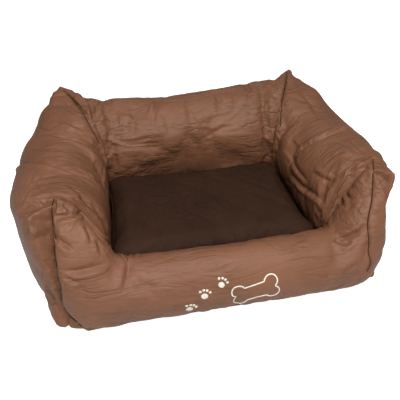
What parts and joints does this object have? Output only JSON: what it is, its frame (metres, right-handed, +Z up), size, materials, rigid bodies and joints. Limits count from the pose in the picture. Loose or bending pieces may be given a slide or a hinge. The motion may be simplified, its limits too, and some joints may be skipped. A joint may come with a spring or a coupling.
{
  "type": "dog sofa bed",
  "caption": "Low-fronted sofa bed for a small dog: stuffed back and arms with pointed corners round a loose, zipped cushion on a sewn-in base sheet.",
  "frame": {"origin": "on the floor, under the middle of the bed", "axes": "+Z up, -Y the low front edge, +X the right arm seen from the front"},
  "size_m": [0.8, 0.604, 0.2391],
  "materials": {
    "brown_nylon": "smooth, slightly glossy chocolate-brown coated nylon",
    "base_cloth": "dark brown coated cloth",
    "stuffing": "white polyester fibre",
    "zip_tape": "woven brown tape",
    "zip_plastic": "brown moulded plastic",
    "zip_metal": "dark bronze-coloured metal"
  },
  "bodies": {
    "bed": {"base_sheet": "base_cloth", "right_arm_cover": "brown_nylon", "right_arm_filling": "stuffing", "left_arm_cover": "brown_nylon", "left_arm_filling": "stuffing", "back_cover": "brown_nylon", "back_filling": "stuffing", "front_cover": "brown_nylon", "front_filling": "stuffing", "back_zip_tape_upper": "zip_tape", "back_zip_tape_lower": "zip_tape", "back_zip_teeth_upper": "zip_plastic", "back_zip_teeth_lower": "zip_plastic", "back_zip_top_stop": "zip_plastic", "back_zip_end_stop": "zip_plastic"},
    "cushion": {"cushion_bottom": "brown_nylon", "cushion_top": "brown_nylon", "cushion_border": "brown_nylon", "cushion_filling": "stuffing", "cushion_zip_tape_upper": "zip_tape", "cushion_zip_tape_lower": "zip_tape", "cushion_zip_teeth_upper": "zip_plastic", "cushion_zip_teeth_lower": "zip_plastic", "cushion_zip_top_stop": "zip_plastic", "cushion_zip_end_stop": "zip_plastic"},
    "cushion_slider": {"cushion_zip_slider": "zip_metal"},
    "cushion_pull": {"cushion_zip_pull": "zip_metal"},
    "back_slider": {"back_zip_slider": "zip_metal"},
    "back_pull": {"back_zip_pull": "zip_metal"}
  },
  "joints": [
    {"name": "cushion_lift", "type": "slide", "parent": "bed", "child": "cushion", "axis": [0, 0, 1], "range_m": [0, 0.3]},
    {"name": "cushion_zip", "type": "slide", "parent": "cushion", "child": "cushion_slider", "axis": [1, 0, 0], "range_m": [0, 0.2374], "deforming": ["cushion_zip_teeth_upper", "cushion_zip_teeth_lower"]},
    {"name": "cushion_pull_turn", "type": "hinge", "parent": "cushion_slider", "child": "cushion_pull", "pos_m": [-0.1187, 0.1103, 0.035], "axis": [0, 0, 1], "range_deg": [0, 170]},
    {"name": "back_zip", "type": "slide", "parent": "bed", "child": "back_slider", "axis": [1, 0, 0], "range_m": [0, 0.2374], "deforming": ["back_zip_teeth_upper", "back_zip_teeth_lower"]},
    {"name": "back_pull_turn", "type": "hinge", "parent": "back_slider", "child": "back_pull", "pos_m": [-0.1187, 0.2983, 0.088], "axis": [0, 0, 1], "range_deg": [0, 170]}
  ]
}
